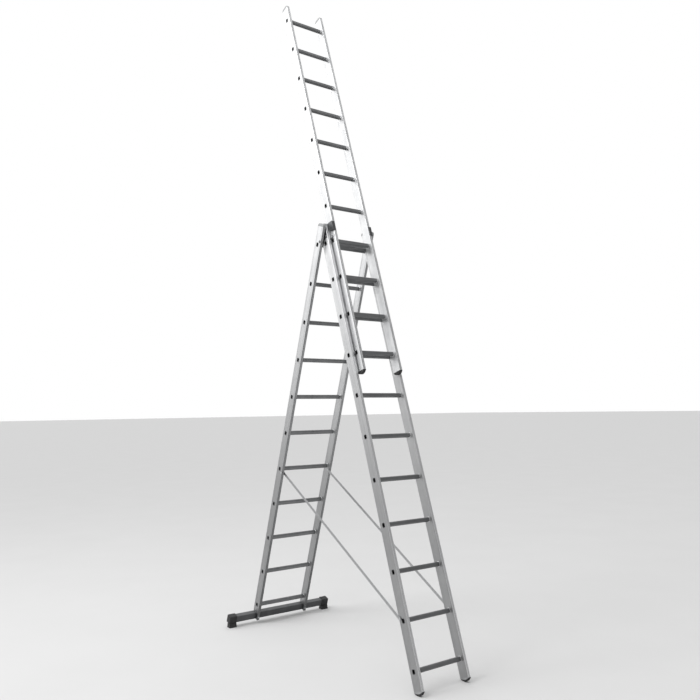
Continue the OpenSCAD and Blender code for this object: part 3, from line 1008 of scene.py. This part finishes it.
def make_bar_bolts():
    """The bolts that hold the bar: heads on the stiles' front, nuts behind the bar."""
    half_flats = 6.0
    washer_radius = 7.6
    middle_x = (STILE["rear"][0].x + STILE["rear"][1].x) / 2
    front = STILE["rear"][0].y
    back = BAR_HIGH.y
    radius = 4.0
    shape = merged(
        hex_head(front - 1.0, 4.0, half_flats, -1),
        washer(front - 1.0, 1.0, washer_radius),
        plain_pin(front - 1.0, back + 1.0, radius),
        washer(back, 1.0, washer_radius),
        hex_head(back + 1.0, 5.0, half_flats),
        threaded_shank(back + 6.0, back + 9.0, radius),
    )
    to_y = Matrix.Rotation(math.radians(90), 4, "Z")
    shape = placed(shape, at(middle_x, 0, BAR_Z) @ to_y)
    for side_name, side in SIDES.items():
        name = f"bar_bolt_{side_name}"
        make_small_piece(name, shape, "rear", side, zinc, "rear_section_bolts")


def make_brace_pivots():
    pin = in_section("rear", BRACE_PIN)
    outer = STILE["rear"][1].x
    inner = STILE["rear"][0].x
    brace_in, brace_out = BRACE_LOW.x / MM, BRACE_HIGH.x / MM
    shape = merged(
        domed_head(outer, 3.0, 7.5),
        plain_pin(brace_in - 0.2, outer + 0.5, 4.0),
        washer(brace_out + 0.2, inner - brace_out - 0.2, 7.0),
        domed_head(brace_in - 0.2, 0.8, 7.0, -1),
    )
    shape = placed(shape, at(0, pin.y, pin.z))
    for side_name, side in SIDES.items():
        name = f"brace_pivot_{side_name}"
        make_small_piece(name, shape, "rear", side, zinc, "rear_section_bolts")


def make_brace_studs():
    stud = in_section("front", STUD)
    outer = STILE["front"][1].x
    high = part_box("brace_hook_studs")[1].x / MM
    shape = merged(
        washer(outer, 0.8, 7.0),
        plain_pin(outer - STILE_WALL, high - 1.0, 4.0),
        domed_head(high - 1.4, 1.4, 7.0),
    )
    shape = placed(shape, at(0, stud.y, stud.z))
    for side_name, side in SIDES.items():
        name = f"brace_stud_{side_name}"
        make_small_piece(name, shape, "front", side, zinc, "brace_hook_studs")


BRACE_WIDTH = 18.0
BRACE_EYE = 11.0
BRACE_HOOK = 12.0
BRACE_MOUTH = 4.3


def brace_outline(length):
    """A flat bar from its eye at the origin to the notched end that sits over the stud."""
    half = BRACE_WIDTH / 2
    eye = math.degrees(math.asin(half / BRACE_EYE))
    neck = math.degrees(math.asin(half / BRACE_HOOK))
    lip = math.degrees(math.acos(BRACE_MOUTH / BRACE_HOOK))
    outline = arc(0, 0, BRACE_EYE, eye, 360 - eye, 24)
    outline += arc(length, 0, BRACE_HOOK, 180 + neck, 360 + lip, 24)
    outline += arc(length, 0, BRACE_MOUTH, 0, -180, 16)
    outline += arc(length, 0, BRACE_HOOK, 180 - lip, 180 - neck, 6)
    return outline


def make_brace(side_name):
    run = STUD - BRACE_PIN
    run.x = 0
    angle = math.atan2(run.z, run.y)
    shape = along_x(brace_outline(run.length / MM), BRACE_LOW.x / MM, BRACE_HIGH.x / MM)
    matrix = Matrix.Translation((0, BRACE_PIN.y, BRACE_PIN.z)) @ Matrix.Rotation(angle, 4, "X")
    obj = make_object(f"brace_{side_name}_bar", shape, matrix, SIDES[side_name])
    soften(obj, bevel=0.5)
    finish_piece(obj, f"brace_arm_{side_name}", brace_metal, [f"brace_{side_name}"])


# ---------------------------------------------------------------- hinge, guides and hooks

HINGE_RIVETS = ((-22.0, 48.0), (-22.0, 92.0), (8.0, 92.0))
GUIDE_RIVETS = ((-22.0, 104.0), (-22.0, 121.0))
RIVET_RADIUS = 5.0
RIVET_HEIGHT = 1.2
HINGE_EYE = 13.0
HINGE_BOSS = 9.5
HINGE_FACE_DROP = 0.4
# (y, z, radius) corners; the arc of the eye closes the outline in place of the first one
HINGE_CORNERS = ((37, 29, 0), (37, 62, 9), (20, 104, 7), (-31, 104, 5), (-31, 36, 4), (12.2, 31, 0))
GUIDE_PLATE = 2.5


def make_hinge_plate(side_name):
    """A plate riveted to the front stile, with a raised boss round the hinge pin."""
    pin = in_section("front", HINGE_PIN)
    side = SIDES[side_name]
    low, high = (v.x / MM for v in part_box("hinge_plate_right"))
    outline = rounded_polygon(HINGE_CORNERS)[1:] + arc(pin.y, pin.z, HINGE_EYE, 148, 382.6, 20)
    plate = along_x(outline, low, high - HINGE_FACE_DROP)
    obj = make_object(f"hinge_plate_{side_name}_pressing", plate, MATRIX["front"], side)
    boss = turned_shape([(low + 0.5, HINGE_BOSS), (high - 0.5, HINGE_BOSS), (high, 8.9)])
    combine(obj, placed(boss, at(0, pin.y, pin.z)), MATRIX["front"], side, "UNION")
    soften(obj, bevel=0.5)
    finish_piece(obj, BODY["front"], dark_zinc, [f"hinge_plate_{side_name}"])


def make_hinge_pin(side_name):
    pin = in_section("rear", HINGE_PIN)
    outer = STILE["rear"][1].x
    inner = STILE["rear"][0].x
    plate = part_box("hinge_plate_right")[1].x / MM
    shape = merged(
        plain_pin(STILE["front"][1].x + 0.4, outer + 1, 6.0),
        washer(plate + 0.3, inner - plate - 0.3, 10.0),
        dimpled_head(outer, 4.0, 10.0),
    )
    shape = placed(shape, at(0, pin.y, pin.z))
    side = SIDES[side_name]
    make_small_piece(f"hinge_pin_{side_name}", shape, "rear", side, dark_zinc, "hinge_pins")


def make_rivets(side_name):
    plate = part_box("hinge_plate_right")[1].x / MM - HINGE_FACE_DROP
    guide = STILE["front"][0].x - GUIDE_PLATE
    outer_head = domed_head(plate, RIVET_HEIGHT, RIVET_RADIUS)
    inner_head = domed_head(guide, RIVET_HEIGHT, RIVET_RADIUS, -1)
    heads = [placed(outer_head, at(0, y, z)) for y, z in HINGE_RIVETS]
    heads += [placed(inner_head, at(0, y, z)) for y, z in GUIDE_RIVETS]
    shape = merged(*heads)
    side = SIDES[side_name]
    name = f"front_rivets_{side_name}"
    make_small_piece(name, shape, "front", side, zinc, "front_section_rivets")


def make_guide(side_name):
    """A pressed bracket inside the front stile, and the moulded guide on its lip."""
    side = SIDES[side_name]
    low, high = local_box(f"guide_bracket_{side_name}", "front")
    inner = STILE["front"][0].x
    front = low.y
    lip_back = front + GUIDE_PLATE
    corners = [
        (-8, 98, 5),
        (-8, 142, 6),
        (-36, 142, 6),
        (lip_back, 137, 2),
        (lip_back, 66, 2),
        (-62, 66, 6),
        (-36, 90, 8),
    ]
    plate = along_x(rounded_polygon(corners), inner - GUIDE_PLATE, inner)
    obj = make_object(f"guide_bracket_{side_name}_plate", plate, MATRIX["front"], side)
    soften(obj, bevel=0.5)
    finish_piece(obj, BODY["front"], dark_zinc, [f"guide_bracket_{side_name}"])
    lip = rounded_polygon([(front, 66, 0.8), (lip_back, 66, 0.8), (lip_back, 136, 0.8), (front, 136, 0.8)], 3)
    lip_low_x = min(abs(low.x), abs(high.x))
    obj = make_object(f"guide_lip_{side_name}", along_x(lip, lip_low_x, inner), MATRIX["front"], side)
    soften(obj, bevel=0.6)
    finish_piece(obj, BODY["front"], dark_plastic, [f"guide_bracket_{side_name}"])


def make_hook(side_name):
    """A plate pinned to the top section's stile, with a hook over the front section's rung."""
    pin = in_section("front", HOOK_PIN)
    low, high = (v.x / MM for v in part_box("rung_hook_right"))
    bar_low = RUNG_TALL / 2 + 0.5
    bar_high = 31.0
    prong = RUNG_DEPTH / 2 + 0.8
    tip = -12.0
    back = 24.0
    eye = 11.0
    corners = [
        (-30, bar_low, 8),
        (prong, bar_low, 3),
        (prong, tip, 2),
        (back, tip, 5),
        (back, bar_high, 8),
        (-30, bar_high, 8),
    ]
    outline = rounded_polygon(corners)
    outline += arc(pin.y, pin.z, eye, 80, 280, 20)
    plate = along_x(outline, low, high)
    obj = make_object(f"rung_hook_{side_name}_plate", plate, MATRIX["front"], SIDES[side_name])
    soften(obj, bevel=0.4)
    finish_piece(obj, f"hook_{side_name}", dark_zinc, [f"rung_hook_{side_name}"])


def make_hook_pin(side_name):
    pin = in_section("top", HOOK_PIN)
    low, high = (v.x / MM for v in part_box("rung_hook_right"))
    outer = STILE["top"][1].x
    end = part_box("rung_hook_pins")[1].x / MM
    shape = merged(
        washer(outer, low - 0.3 - outer, 7.0),
        plain_pin(outer - STILE_WALL, high + 0.5, 4.0),
        domed_head(high + 0.3, end - high - 0.3, 7.0),
    )
    shape = placed(shape, at(0, pin.y, pin.z))
    side = SIDES[side_name]
    make_small_piece(f"hook_pin_{side_name}", shape, "top", side, zinc, "rung_hook_pins")


# ---------------------------------------------------------------- the ladder

for section in SECTIONS:
    for side_name in SIDES:
        make_stile(section, side_name)
    for level in range(1, RUNGS + 1):
        make_rung(section, level)

make_plugs("rear", "rear_top_plugs")
make_plugs("front", "front_top_plugs")
make_plugs("top", "top_section_plugs")
make_soles("front", "front_feet", True)
make_soles("top", "top_section_feet", False)
make_bar()
make_bar_bolts()
make_brace_pivots()
make_brace_studs()
for side_name in SIDES:
    make_foot(side_name)
    make_brace(side_name)
    make_hinge_plate(side_name)
    make_hinge_pin(side_name)
    make_rivets(side_name)
    make_guide(side_name)
    make_hook(side_name)
    make_hook_pin(side_name)

insert = frame["nodes"]["stabiliser_brackets"]
insert.data.materials.clear()
insert.data.materials.append(dark_zinc)


# ---------------------------------------------------------------- studio

FLOOR_SIZE = 400.0


def make_floor():
    half = FLOOR_SIZE / 2
    mesh = bpy.data.meshes.new("floor")
    corners = [(-half, -half, 0), (half, -half, 0), (half, half, 0), (-half, half, 0)]
    mesh.from_pydata(corners, [], [(0, 1, 2, 3)])
    floor = bpy.data.objects.new("floor", mesh)
    bpy.context.scene.collection.objects.link(floor)
    shader = Shader("floor_paint")
    cloud = shader.noise(1.5, 3.0)
    shader.set(
        base_color=shader.mix_colour(cloud, (0.6, 0.6, 0.6), (0.63, 0.63, 0.63)),
        roughness=0.9,
    )
    shader.surface.inputs["Specular IOR Level"].default_value = 0.2
    mesh.materials.append(shader.material)


def make_light(name, place, target, size, power):
    light = bpy.data.lights.new(name, "AREA")
    light.shape = "DISK"
    light.size = size
    light.energy = power
    obj = bpy.data.objects.new(name, light)
    bpy.context.scene.collection.objects.link(obj)
    obj.location = place
    obj.rotation_euler = (Vector(target) - Vector(place)).to_track_quat("-Z", "Y").to_euler()


BRIGHT_DIRECTION = Vector((-0.35, 0.3, 0.89))
BRIGHTEST_FROM = 0.8
DIM_STRENGTH = 0.36
BRIGHT_STRENGTH = 1.35
SEEN_STRENGTH = 1.0


def make_world():
    """A white studio, brightest overhead and a little to the left; the camera sees it as plain white."""
    world = bpy.data.worlds.new("studio")
    bpy.context.scene.world = world
    world.use_nodes = True
    tree = world.node_tree
    background = tree.nodes["Background"]
    background.inputs["Color"].default_value = (1, 1, 1, 1)
    direction = tree.nodes.new("ShaderNodeTexCoord").outputs["Generated"]
    towards = tree.nodes.new("ShaderNodeVectorMath")
    towards.operation = "DOT_PRODUCT"
    towards.inputs[1].default_value = BRIGHT_DIRECTION.normalized()
    tree.links.new(direction, towards.inputs[0])
    ramp = tree.nodes.new("ShaderNodeMapRange")
    ramp.interpolation_type = "SMOOTHSTEP"
    ramp.inputs["From Min"].default_value = 0.0
    ramp.inputs["From Max"].default_value = BRIGHTEST_FROM
    ramp.inputs["To Min"].default_value = DIM_STRENGTH
    ramp.inputs["To Max"].default_value = BRIGHT_STRENGTH
    tree.links.new(towards.outputs["Value"], ramp.inputs["Value"])
    path = tree.nodes.new("ShaderNodeLightPath")
    seen = tree.nodes.new("ShaderNodeMix")
    seen.inputs["B"].default_value = SEEN_STRENGTH
    tree.links.new(path.outputs["Is Camera Ray"], seen.inputs["Factor"])
    tree.links.new(ramp.outputs["Result"], seen.inputs["A"])
    tree.links.new(seen.outputs["Result"], background.inputs["Strength"])


make_floor()
make_world()
low, high = cad_bounds
middle = (Vector(low) + Vector(high)) / 2
make_light("key", (-5.0, 1.0, 6.5), middle, size=4.0, power=200.0)

camera_data = bpy.data.cameras.new("camera")
camera_data.sensor_width = 36.0
camera_data.lens = 37.583
camera = bpy.data.objects.new("camera", camera_data)
bpy.context.scene.collection.objects.link(camera)
CAMERA_PLACE = Vector((-3.0108, -4.2259, 1.632))
CAMERA_TURN = 35.866
CAMERA_TILT = 4.693
CAMERA_ROLL = -0.811


def aim_camera():
    """Turn is from +Y towards +X, tilt is upwards and roll is about the line of sight, in degrees."""
    turn = math.radians(CAMERA_TURN)
    tilt = math.radians(CAMERA_TILT)
    roll = math.radians(CAMERA_ROLL)
    forward = Vector((math.sin(turn) * math.cos(tilt), math.cos(turn) * math.cos(tilt), math.sin(tilt)))
    level = Vector((math.cos(turn), -math.sin(turn), 0))
    upright = level.cross(forward)
    right = math.cos(roll) * level + math.sin(roll) * upright
    up = -math.sin(roll) * level + math.cos(roll) * upright
    rotation = Matrix((right, up, -forward)).transposed()
    camera.matrix_world = Matrix.Translation(CAMERA_PLACE) @ rotation.to_4x4()


aim_camera()
bpy.context.scene.camera = camera
bpy.context.scene.view_settings.view_transform = "Standard"
